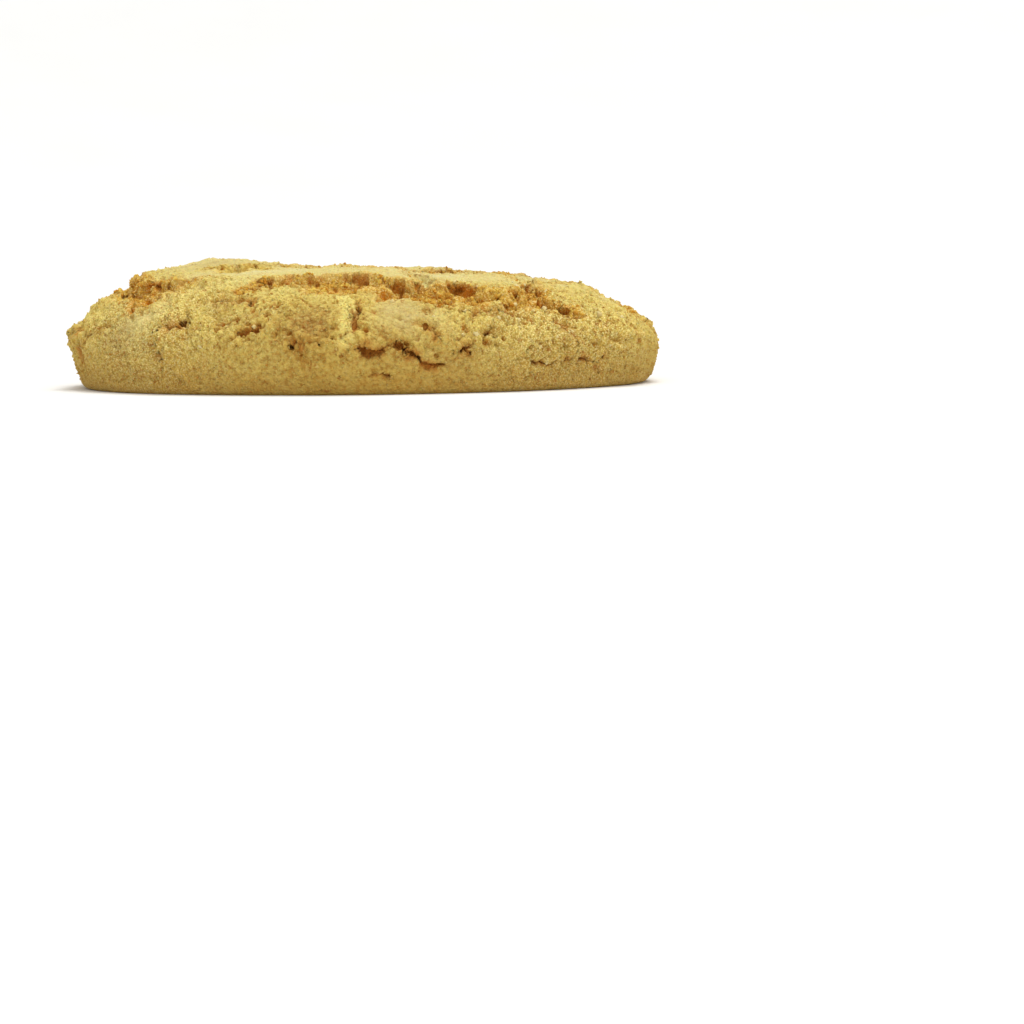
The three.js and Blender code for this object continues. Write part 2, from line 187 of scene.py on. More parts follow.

# The net of triangles
CRUST_STEP = 0.18  # between its points before it is thinned out
CRUST_TRIANGLES = 196000  # left then
MERIDIAN_POINTS = 1500  # on each of the meridian's two curves
LEAST_RING = 6  # points, round the middle of the top
BASE_RINGS = [(0.78, 4), (0.4, 12)]  # share of the base's radius, and how much coarser than its rim
FULL_TURN = 2 * math.pi

DRAWS = {"wander": 0, "jag": 9}  # sheets of the lattice of chances that the splits draw from
# Each pattern's own layer of noise. A sum of several sizes takes the layers that follow as well.
LAYER = {"swell": 0, "torn_edge": (3, 11), "torn_floor": 4, "split_fray": 12, "pinch": 17,
         "fissure": 20, "fissure_patch": 26, "lumps": 30, "pits": 40, "holes": 42, "clumps": 44,
         "crumbly": 50, "fresh": 52, "sandy": 53, "heaps": 55, "pockets": 57}


def clamp(value):
    return np.clip(value, 0, 1)


def lerp(a, b, share):
    return a + (b - a) * share


def smoothstep(value, low, high):
    share = clamp((value - low) / (high - low))
    return share * share * (3 - 2 * share)


def chance(i, j, k):
    """A repeatable number from 0 to 1 for each point of a whole-number lattice."""
    word = 0xFFFFFFFF  # 32 bits, which large odd numbers stir well
    i, j, k = (np.asarray(n, np.int64) for n in (i, j, k))
    h = ((i * 374761393) ^ (j * 668265263) ^ (k * 1274126177) ^ SEED) & word
    h = ((h ^ (h >> 13)) * 1103515245) & word
    h = ((h ^ (h >> 15)) * 739982445) & word
    return (h ^ (h >> 16)) / (word + 1)


def noise(place, size, layer):
    """Smooth noise from -1 to 1 with lumps about `size` across. Each layer is a different noise."""
    at = np.array([place[0] / size + 100 * layer, place[1] / size, place[2] / size])
    i, j, k = np.floor(at).astype(np.int64)
    share = at - np.floor(at)
    p, q, r = share**3 * (share * (6 * share - 15) + 10)
    sheets = []
    for dk in (0, 1):
        rows = [lerp(chance(i, j + dj, k + dk), chance(i + 1, j + dj, k + dk), p) for dj in (0, 1)]
        sheets.append(lerp(*rows, q))
    return 2 * lerp(*sheets, r) - 1


def cells(place, size, layer):
    """Lumps strewn about `size` apart: how far the nearest one's middle is, as a share of `size`,
    and a chance that is its own."""
    at = np.array([place[0] / size + 100 * layer, place[1] / size, place[2] / size])
    lattice = np.floor(at).astype(np.int64)
    near, own = np.full(at.shape[1], np.inf), np.zeros(at.shape[1])
    for aside in product((-1, 0, 1), repeat=3):
        i, j, k = lattice + np.array(aside)[:, None]
        middle = [n + chance(i + use, j - use, k) for use, n in zip((7, 8, 9), (i, j, k))]
        distance = np.sqrt(sum((m - a) ** 2 for m, a in zip(middle, at)))
        closer = distance < near
        own = np.where(closer, chance(i + 5, j, k - 5), own)
        near = np.where(closer, distance, near)
    return near, own


# ---------------------------------------------------------------- the smooth cookie


def meridian():
    """The meridian's reach (share of RADIUS), height, and length from the middle of the top."""
    turn = np.linspace(0, math.pi / 2, MERIDIAN_POINTS + 1)
    fall = np.linspace(0, 1, MERIDIAN_POINTS + 1)[1:]
    lower = lerp(BASE_RADIUS, RADIUS, np.sqrt(1 - fall**FOOT)) / RADIUS
    reach = np.concatenate([np.sin(turn) ** (2 / SHOULDER), lower])
    crown = lerp(WIDEST_HEIGHT, THICKNESS, np.maximum(np.cos(turn), 0) ** (2 / CROWN))
    height = np.concatenate([crown, WIDEST_HEIGHT * (1 - fall)])
    steps = np.hypot(np.diff(reach) * RADIUS, np.diff(height))
    return reach, height, np.concatenate([[0], np.cumsum(steps)])


REACH, HEIGHT, LENGTH = meridian()
WHOLE_LENGTH = LENGTH[-1]


def smooth_surface(length, bearing):
    """Places on the cookie before its relief, and the directions that the relief goes in."""
    after = np.clip(np.searchsorted(LENGTH, length), 1, len(LENGTH) - 1)
    out = (REACH[after] - REACH[after - 1]) * RADIUS
    up = HEIGHT[after] - HEIGHT[after - 1]
    size = np.hypot(out, up)
    factor = 1 + sum(share * np.cos(n * bearing + start) for n, share, start in WAVES)
    radius = np.interp(length, LENGTH, REACH) * RADIUS * factor
    x, y = radius * np.cos(bearing), radius * np.sin(bearing)
    z = crown_height(x, y, np.interp(length, LENGTH, HEIGHT))
    normal = [-up / size * np.cos(bearing), -up / size * np.sin(bearing), out / size]
    return np.array([x, y, z]), np.array(normal)


def crown_height(x, y, height):
    """The crown's height at a place, leaning and lumpy, from what the meridian gives there."""
    over = np.maximum(height - WIDEST_HEIGHT, 0)
    lean = 1 - CROWN_LEAN * np.sin(math.pi / 2 * np.clip(x / RADIUS, -1, 1))
    mound = bumps(x, y, MOUNDS) * clamp(over / MOUND_FADE)
    return np.minimum(height, WIDEST_HEIGHT) + over * lean + mound


# ---------------------------------------------------------------- splits and torn crust


def jagged_route(start, end, bow, number):
    """A jagged route from one place on the map to another."""
    du, dv = end[0] - start[0], end[1] - start[1]
    length = math.hypot(du, dv)
    steps = max(2, math.floor(length / SPLIT_STEP + 0.5))
    route = []
    for n in range(steps + 1):
        share = n / steps
        aside = 4 * bow * share * (1 - share) + SPLIT_JAG * (chance(number, n, DRAWS["jag"]) - 0.5)
        route.append((start[0] + share * du - aside * dv / length,
                      start[1] + share * dv + aside * du / length))
    return route


def wandering_splits():
    """Splits that run more or less round the cookie, as crust splits when it spreads."""
    def allowed(place):
        away = math.hypot(*place)
        covered = abs(place[0]) < COVERED["side"] and place[1] < COVERED["front"]
        return WANDERING["nearest"] < away < WANDERING["furthest"] and not covered

    found = []
    n = 0
    while len(found) < WANDERING["count"]:
        where, far, heading, run, bow, half, depth = (
            float(chance(n, use, DRAWS["wander"])) for use in range(1, 8))
        n += 1
        bearing = FULL_TURN * where
        out = WANDERING["furthest"] * math.sqrt(far)
        towards = bearing + math.pi * lerp(*WANDERING["heading"], heading)
        run = lerp(*WANDERING["length"], run)
        start = (out * math.cos(bearing), out * math.sin(bearing))
        end = (start[0] + run * math.cos(towards), start[1] + run * math.sin(towards))
        if allowed(start) and allowed(end):
            found.append((start, end, WANDERING["bow"] * (bow - 0.5),
                          lerp(*WANDERING["half"], half), lerp(*WANDERING["depth"], depth)))
    return found


def nearest_on_route(route, u, v):
    """The distance on the map from a route, how far along it that is, and on which side."""
    distance, along, side = np.full(u.shape, np.inf), np.zeros(u.shape), np.zeros(u.shape)
    for n, ((au, av), (bu, bv)) in enumerate(zip(route, route[1:])):
        du, dv = bu - au, bv - av
        share = clamp(((u - au) * du + (v - av) * dv) / (du * du + dv * dv))
        off = np.hypot(u - au - share * du, v - av - share * dv)
        closer = off < distance
        distance = np.where(closer, off, distance)
        along = np.where(closer, (n + share) / (len(route) - 1), along)
        side = np.where(closer, np.sign(du * (v - av) - dv * (u - au)), side)
    return distance, along, side


def taper(along):
    """How wide a break still is, part of the way along it."""
    return np.sqrt(np.sin(math.pi * np.clip(along, TIP, 1 - TIP)))


def torn_relief(u, v, place):
    """Where the crust is torn: how deep, how broken, its lip, and the plates' steps."""
    torn, cut, broken, lip, steps = (np.zeros(u.shape) for _ in range(5))
    stray = sum(far * noise(place, size, n) for n, (size, far) in zip(LAYER["torn_edge"], RAGGED))
    for band in TORN:
        distance, along, side = nearest_on_route(band["route"], u, v)
        edge = distance + stray - band["half"] * taper(along)
        share = 1 - smoothstep(edge, -WALL, WALL)
        torn = np.maximum(torn, share)
        cut = np.maximum(cut, share * band["depth"])
        broken = np.maximum(broken, 1 - smoothstep(edge, *BROKEN_EDGE))
        lip = np.maximum(lip, np.exp(-((edge / LIP["reach"]) ** 2)))
        across = side * smoothstep(distance, 0, band["half"])
        steps += (band["step"] / 2 * across * np.sin(math.pi * along)
                  * np.exp(-distance / STEP_REACH))
    return cut, broken, lip * (1 - torn), steps


def split_relief(u, v, place):
    """Where the crust is split: how deep, how far into the split its painted brown shade reaches, and how
    frayed it is beside it and how much browning and painted shade darken it there."""
    cut, inside, frayed, browning_and_shade_halo = (np.zeros(u.shape) for _ in range(4))
    fray = sum(far * noise(place, size, n)
               for n, (size, far) in enumerate(SPLIT_FRAY, LAYER["split_fray"]))
    pinch = smoothstep(noise(place, PINCH["size"], LAYER["pinch"]), *PINCH["edge"])
    gape = lerp(*PINCH["width"], pinch)
    for number, (start, end, bow, half, depth) in enumerate([*SPLITS, *wandering_splits()]):
        route = jagged_route(start, end, bow, number)
        margin = half + 3 * FRAYED  # it changes nothing further off
        low, high = np.min(route, axis=0) - margin, np.max(route, axis=0) + margin
        close = (u > low[0]) & (u < high[0]) & (v > low[1]) & (v < high[1])
        distance, along, _ = nearest_on_route(route, u[close], v[close])
        width = SPLIT_WIDTH * half * taper(along) * gape[close]
        edge = np.maximum(distance + fray[close], 0) / width
        share = 1 - smoothstep(edge, *SPLIT_SECTION)
        cut[close] = np.maximum(cut[close], depth * share)
        # A deep split is painted brown inside, as shade
        inner_shade = (1 - smoothstep(edge, *SPLIT_SHADE_FADE)) * smoothstep(depth, *DARK_DEPTH)
        inside[close] = np.maximum(inside[close], inner_shade)
        beside = np.exp(-((np.maximum(distance - width, 0) / FRAYED) ** 2))
        frayed[close] = np.maximum(frayed[close], beside)
        # Beside a split the crust is darkened, partly as browning and partly as painted shade
        brown = SPLIT_BROWNING_AND_SHADE[1] * np.exp(-((distance / SPLIT_BROWNING_AND_SHADE[0]) ** 2)) * taper(along)
        browning_and_shade_halo[close] = np.maximum(browning_and_shade_halo[close], brown * smoothstep(depth, *DARK_DEPTH))
    return cut, inside, frayed, browning_and_shade_halo


def fissure_relief(place):
    """Short jagged cracks in the crust, from 0 to 1 deep."""
    winding = sum(noise(place, FISSURES["size"] / 2**n, LAYER["fissure"] + n) / FISSURES["weaker"]**n
                  for n in range(FISSURES["octaves"]))
    patch = noise(place, FISSURES["patch"], LAYER["fissure_patch"])
    return (smoothstep(patch, *FISSURES["patch_edge"])
            * (1 - smoothstep(np.abs(winding), *FISSURES["edge"])))


def crumb_relief(place, crumbly):
    """Lumps of crumb, from about -1 to 1 high, and how low it is between them."""
    height = crumbly * sum(high * (np.abs(noise(place, size, n)) - CREASE)
                           for n, (size, high) in enumerate(CLUMPS, LAYER["clumps"]))
    between = 0
    for n, (size, in_crumb, on_skin) in enumerate(LUMPS, LAYER["lumps"]):
        near, own = cells(place, size, n)
        dome = np.sqrt(clamp(1 - (near / DOME["reach"]) ** 2))
        dome = dome * lerp(*DOME["height"], own) - DOME["sunk"]
        height = height + lerp(on_skin, in_crumb, crumbly) * dome
        between = between - dome / len(LUMPS)
    return height, between


def steam_holes(place, kind, layer):
    """Round holes, from 0 at their brink to 1 deep."""
    near, own = cells(place, kind["size"], layer)
    stray = 1 + HOLE_BRINK["strays"] * noise(place, HOLE_BRINK["size"], layer + 1)
    radius = lerp(*kind["radius"], clamp(own / kind["share"])) * stray
    depth = 1 - smoothstep(near * kind["size"], HOLE_BRINK["floor"] * radius, radius)
    return depth * (own < kind["share"])


def bumps(x, y, places):
    """A sum of round bumps, each with its place, reach and height."""
    return sum(much * np.exp(-((x - at_x) ** 2 + (y - at_y) ** 2) / reach**2)
               for at_x, at_y, reach, much in places)


def patches(place, kind, layer):
    """Patches of the crust, from 0 outside them to 1 inside."""
    blend = sum(weight * noise(place, size, n)
                for n, (size, weight) in enumerate(kind["noise"], layer))
    return smoothstep(blend, *kind["edge"])


def large_relief(length, bearing, place):
    """The relief that the solid has too, in millimetres, and where the crust looks different."""
    u, v = length * np.cos(bearing), length * np.sin(bearing)
    torn_cut, torn, lip, steps = torn_relief(u, v, place)
    split_cut, split, frayed, browning_and_shade_halo = split_relief(u, v, place)
    swell = sum(high / 2 * noise(place, size, n)
                for n, (size, high) in enumerate(SWELL, LAYER["swell"]))
    rolling = TORN_FLOOR["height"] / 2 * noise(place, TORN_FLOOR["size"], LAYER["torn_floor"])
    relief = (swell + steps + LIP["height"] * lip + torn * rolling
              - np.maximum(torn_cut, split_cut) - GRAIN_TOPS)

    inwards = 1 - smoothstep(np.hypot(u, v), *SHOULDER_ZONE)
    above_firm = smoothstep(place[2], *FIRM_SIDE)
    smoother, sandier = (clamp(bumps(u, v, places)) for places in (SMOOTHER, SANDIER))
    sandy = SANDY_PATCHES["most"] * patches(place, SANDY_PATCHES, LAYER["sandy"])
    sandier = np.maximum(sandier, sandy * (v > COVERED["front"]))
    torn = torn * (1 - smoother)
    split, browning_and_shade_halo = (look * (1 - smoother * inwards) for look in (split, browning_and_shade_halo))
    rough = patches(place, CRUMBLY_PATCHES, LAYER["crumbly"])
    rough = np.maximum(CRUMBLY_PATCHES["most"] * rough * (1 - inwards),
                       bumps(u, v, CRUMBLIER) * lerp(CRUMBLIER_LEAST, 1, rough))
    crumbly = clamp(np.maximum(torn, np.maximum(frayed, rough) * above_firm))
    off_break, _, _ = nearest_on_route(FRESH_BREAK["route"], u, v)
    uneven = FRESH_BREAK["uneven"]["far"] * noise(place, FRESH_BREAK["uneven"]["size"], LAYER["fresh"])
    fresh = 1 - smoothstep(off_break + uneven, FRESH_BREAK["fades"] * FRESH_BREAK["half"],
                           FRESH_BREAK["half"])
    # Browning where listed, and the darkening beside splits, partly browning and partly painted shade
    browner = np.maximum(bumps(u, v, BROWNED_AND_SHADED), browning_and_shade_halo * above_firm * (1 - torn))
    browner = clamp(browner * (1 - fresh))
    looks = {"torn": torn, "crumbly": crumbly, "split": split, "fresh": fresh, "browner": browner,
             "plate": (1 - crumbly) * np.maximum(PLATE_SHARE * inwards, smoother),
             "sandy": np.maximum(sandier * (1 - smoother), torn)}
    return relief, looks


def fine_relief(place, looks):
    """The relief that is only for the eye, in millimetres, and what it adds to the looks."""
    torn, crumbly = looks["torn"], looks["crumbly"]
    above_firm = smoothstep(place[2], *FIRM_SIDE)
    lumps, between = crumb_relief(place, crumbly)
    inwards = 1 - smoothstep(np.hypot(place[0], place[1]), *SHOULDER_ZONE)
    sheltered = np.maximum(torn, crumbly * inwards)
    ceiling = lerp(*CRUMB_CEILING, inwards)
    lumps = lumps / (1 + sheltered * np.maximum(lumps, 0) / ceiling)
    fissure = FISSURES["depth"] * fissure_relief(place) * (1 - torn) * above_firm
    fissure = fissure * (1 - looks["plate"]) * lerp(1, FISSURES["on_top"], inwards)
    pit = steam_holes(place, PITS, LAYER["pits"]) * smoothstep(crumbly, 0, STEAMY)
    hole = steam_holes(place, HOLES, LAYER["holes"]) * torn
    winding = sum(noise(place, size, LAYER["pockets"] + n) / (n + 1)
                  for n, size in enumerate(POCKETS["sizes"]))
    pocket = smoothstep(winding, *POCKETS["edge"]) * torn
    skin = lerp(1, PLATE_SKIN, looks["plate"]) + SANDY_SKIN * looks["sandy"] * (1 - crumbly)
    relief = lumps * skin - fissure - POCKETS["depth"] * pocket
    relief = relief - np.maximum(PITS["depth"] * pit, HOLES["depth"] * hole)

    # Painted warm shade in hollows, holes, pockets and the creases between lumps
    low = smoothstep(-relief, HOLLOW_SHADE["from"], lerp(*HOLLOW_SHADE["to"], torn))
    hollow = np.maximum(np.maximum(low, smoothstep(hole, *HOLLOW_SHADE["hole"])), pocket)
    crease = lerp(*HOLLOW_SHADE["crease_most"], crumbly) * smoothstep(between, *HOLLOW_SHADE["crease"])
    hollow = np.maximum(hollow, crease * above_firm)
    # Painted brown shade inside splits and fissures
    split = np.maximum(looks["split"], fissure / FISSURES["depth"])
    # Painted light on the crests of lumps
    return relief, {"hollow": hollow, "crest": smoothstep(-between, *CREST_LIGHT), "split": split,
                    "tint": np.full(torn.shape, MIDDLE_TINT)}


# ---------------------------------------------------------------- meshes


def ring_bearings(count, turned):
    return FULL_TURN * (np.arange(count) + turned) / count


def zip_rings(inner, outer):
    """Triangles between two rings (first point, count, turned by part of a space)."""
    (first_in, count_in, turned_in), (first_out, count_out, turned_out) = inner, outer
    triangles = []
    i = o = 0
    while i < count_in or o < count_out:
        at_in, at_out = first_in + i % count_in, first_out + o % count_out
        outer_first = (o + 1 + turned_out) / count_out <= (i + 1 + turned_in) / count_in
        if i == count_in or (o < count_out and outer_first):
            triangles.append((at_in, at_out, first_out + (o + 1) % count_out))
            o += 1
        else:
            triangles.append((at_in, at_out, first_in + (i + 1) % count_in))
            i += 1
    return triangles


def fan(middle, ring):
    """Triangles that close a ring over a point in its middle."""
    first, count, _ = ring
    return [(middle, first + n, first + (n + 1) % count) for n in range(count)]


def crust_mesh():
    """Points, triangles and looks of the whole cookie, its flat base included."""
    lengths, bearings, triangles = [np.zeros(1)], [np.zeros(1)], []
    total, last = 1, None
    rings = round(WHOLE_LENGTH / CRUST_STEP)
    for r in range(1, rings + 1):
        length = WHOLE_LENGTH * r / rings
        girth = FULL_TURN * RADIUS * np.interp(length, LENGTH, REACH)
        ring = (total, max(LEAST_RING, round(girth / CRUST_STEP)), (r % 2) / 2)
        lengths.append(np.full(ring[1], length))
        bearings.append(ring_bearings(*ring[1:]))
        triangles += zip_rings(last, ring) if last else fan(0, ring)
        total += ring[1]
        last = rim = ring

    # The flat base: coarser rings inwards to its middle, with their faces turned down
    underside, flat = [], []
    for share, coarser in BASE_RINGS:
        ring = (total, round(rim[1] / coarser), 0)
        turn = ring_bearings(*ring[1:])
        flat.append(share * BASE_RADIUS * np.array([np.cos(turn), np.sin(turn), 0 * turn]).T)
        underside += zip_rings(ring, last)
        total += ring[1]
        last = ring
    underside += fan(total, last)
    flat.append(np.zeros((1, 3)))
    triangles = np.array(triangles + [(a, c, b) for a, b, c in underside])

    lengths, bearings, flat = (np.concatenate(part) for part in (lengths, bearings, flat))
    place, normal = smooth_surface(lengths, bearings)
    full = smoothstep(place[2], 0, FADE_HEIGHT)
    relief, looks = large_relief(lengths, bearings, place)
    points = np.concatenate([(place + normal * relief * full).T, flat])
    above = len(full)
    finer, more_looks = fine_relief(points[:above].T, looks)
    points[:above] += point_normals(points, triangles)[:above] * (finer * full)[:, None]
    points[:, :2] -= (points[:, :2].min(0) + points[:, :2].max(0)) / 2
    looks = {name: np.pad(value, (0, len(flat))) for name, value in (looks | more_looks).items()}
    return points, triangles, looks


def point_normals(points, triangles):
    """The outward direction at each of a mesh's points."""
    a, b, c = (points[triangles[:, n]] for n in range(3))
    across = np.repeat(np.cross(b - a, c - a), 3, axis=0)
    normals = np.array([np.bincount(triangles.ravel(), across[:, n]) for n in range(3)]).T
    return normals / np.linalg.norm(normals, axis=1)[:, None]


def thin_out(mesh, most):
    """Joins triangles where the crust is even, so that those that are left lie where it is rough."""
    holder = bpy.data.objects.new("thinning", mesh)
    bpy.context.scene.collection.objects.link(holder)
    holder.modifiers.new("thin_out", "DECIMATE").ratio = most / len(mesh.polygons)
    thinned = bpy.data.meshes.new_from_object(
        holder.evaluated_get(bpy.context.evaluated_depsgraph_get()))
    bpy.data.objects.remove(holder)
    return thinned


def add_piece(name, points, triangles, looks, material, most=None, smooth=True):
    """A mesh of the cookie's, from points in millimetres."""
    mesh = bpy.data.meshes.new(name)
    mesh.from_pydata(points * MM, [], triangles.tolist())
    for look, value in looks.items():
        mesh.attributes.new(look, "FLOAT", "POINT").data.foreach_set("value", value.astype(np.float32))
    if most:
        mesh = thin_out(mesh, most)
    if smooth:
        mesh.shade_smooth()
    mesh.materials.append(material)
    piece = bpy.data.objects.new(name, mesh)
    bpy.context.scene.collection.objects.link(piece)
    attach(piece, "root")
    return piece


# ---------------------------------------------------------------- crumbs and sugar

# Broken crumb that clings to the torn crust: how many chunks, their size across, how much of a
# chunk is sunk, and how many times its round form is divided
FINE_CRUMB = {"count": 5000, "size": (0.3, 0.7), "sunk": (0.5, 0.9), "rounds": 1, "seed": 1}
COARSE_CRUMB = {"count": 600, "size": (0.6, 1.2), "sunk": (0.65, 0.95), "rounds": 2, "seed": 2}
SUGAR = {"count": 80, "size": (0.5, 1.0), "sunk": (0.5, 0.85), "rounds": 2, "seed": 3}
SAND = {"count": 24500, "size": (0.32, 0.7), "sunk": (0.45, 0.85), "rounds": 0, "seed": 4}
PLATE_SUNK = 0.45  # grains on smooth plates are sunk deeper by this share
TINTS = {"plate": 0.3, "sandy": 0.5}  # tints range this widely on plates, and wider by this on sandy skin
SUGAR_PATCH = {"place": (24.5, -30), "reach": 9, "times": 16}  # lies this many times denser here
HEAPS = {"size": 2.5, "edge": (-0.1, 0.4)}  # crumbs lie in heaps about this wide
CRUMB_FROM = (2.5, 4.5)  # crumbs and sugar lie above these heights
SAND_FROM = (0.5, 1.5)  # and sandy grains above these
OUTWARDS = {"from": (16, 28), "inside": 0.12}  # fewer crumbs lie in the middle of the top
SHELTER = 3  # a larger number keeps more crumb out of hollows
SAND_FEWER = {"split": 0.8, "torn": 0.5, "plate": 0.5, "hollow": 0.8}  # by this share in such places
CHUNK_JAG = 0.45  # how far a chunk's corners stray from a round form
FLATNESS = (0.6, 1.0)  # and how much it is flattened along each of its own axes


def round_form(rounds):
    """The corners and triangles of a small ball, or of an eight-sided grain for no rounds."""
    if rounds == 0:
        corners = np.array([(x, 0, 0) for x in (-0.5, 0.5)] + [(0, y, 0) for y in (-0.5, 0.5)]
                           + [(0, 0, z) for z in (-0.5, 0.5)])
        triangles = [(x, y, z) if (x + y + z) % 2 else (y, x, z)
                     for x, y, z in product((0, 1), (2, 3), (4, 5))]
        return corners, np.array(triangles)
    made = bmesh.new()
    bmesh.ops.create_icosphere(made, subdivisions=rounds, radius=0.5)
    corners = np.array([v.co for v in made.verts])
    triangles = np.array([[v.index for v in f.verts] for f in made.faces])
    made.free()
    return corners, triangles


def random_turns(draw, count):
    """Evenly spread random rotation matrices."""
    w, x, y, z = draw.normal(size=(4, count))
    size = np.sqrt(w * w + x * x + y * y + z * z)
    w, x, y, z = w / size, x / size, y / size, z / size
    rows = [[1 - 2 * (y * y + z * z), 2 * (x * y - z * w), 2 * (x * z + y * w)],
            [2 * (x * y + z * w), 1 - 2 * (x * x + z * z), 2 * (y * z - x * w)],
            [2 * (x * z - y * w), 2 * (y * z + x * w), 1 - 2 * (x * x + y * y)]]
    return np.array(rows).transpose(2, 0, 1)


def scatter(kind, weights, points, normals, looks):
    """Chunks of one kind as one mesh, part sunk in the crust where the weights are high. They take
    on the crust's looks there."""
    draw = np.random.default_rng([SEED, kind["seed"]])
    corners, triangles = round_form(kind["rounds"])
    chosen = draw.choice(len(points), kind["count"], replace=False, p=weights / weights.sum())
    count = len(chosen)
    size = lerp(*kind["size"], draw.random(count) ** 2)
    flatness = draw.uniform(*FLATNESS, (count, 1, 3))
    jag = 1 + CHUNK_JAG * draw.uniform(-1, 1, (count, len(corners), 1))
    chunks = corners[None] * jag * flatness * size[:, None, None]
    chunks = np.einsum("nij,nkj->nki", random_turns(draw, count), chunks)
    smooth = looks["plate"][chosen] if looks else 0
    sunk = (0.5 - draw.uniform(*kind["sunk"], count) - PLATE_SUNK * smooth) * size
    chunks += (points[chosen] + normals[chosen] * sunk[:, None])[:, None]
    faces = triangles[None] + len(corners) * np.arange(count)[:, None, None]
    sandy = looks["sandy"][chosen] if looks else 0
    spread = lerp(1, TINTS["plate"], smooth) + TINTS["sandy"] * sandy
    looks = {name: value[chosen] for name, value in looks.items()}
    looks["tint"] = MIDDLE_TINT + spread * (draw.random(count) - 0.5)
    looks = {name: np.repeat(value, len(corners)) for name, value in looks.items()}
    return chunks.reshape(-1, 3), faces.reshape(-1, 3), looks


# ---------------------------------------------------------------- materials


def linear(colour):
    """An sRGB hex colour as linear red, green, blue and alpha."""
    parts = [int(colour[n : n + 2], 16) / 255 for n in (1, 3, 5)]
    return [p / 12.92 if p <= 0.04045 else ((p + 0.055) / 1.055) ** 2.4 for p in parts] + [1]


def add(tree, kind, links, **settings):
    """Adds a node. `links` holds, for its inputs, other nodes, their sockets or plain values."""
    made = tree.nodes.new(kind)
    for name, value in settings.items():
        setattr(made, name, value)
    inputs = {socket.identifier: socket for socket in made.inputs}
    for name, value in links.items():
        if isinstance(value, bpy.types.Node):
            value = next(socket for socket in value.outputs if socket.enabled)
        if isinstance(value, bpy.types.NodeSocket):
            tree.links.new(value, inputs[name])
        else:
            inputs[name].default_value = value
    return made


def new_material(name):
    material = bpy.data.materials.new(name)
    material.use_nodes = True
    material.node_tree.nodes.clear()
    return material, material.node_tree


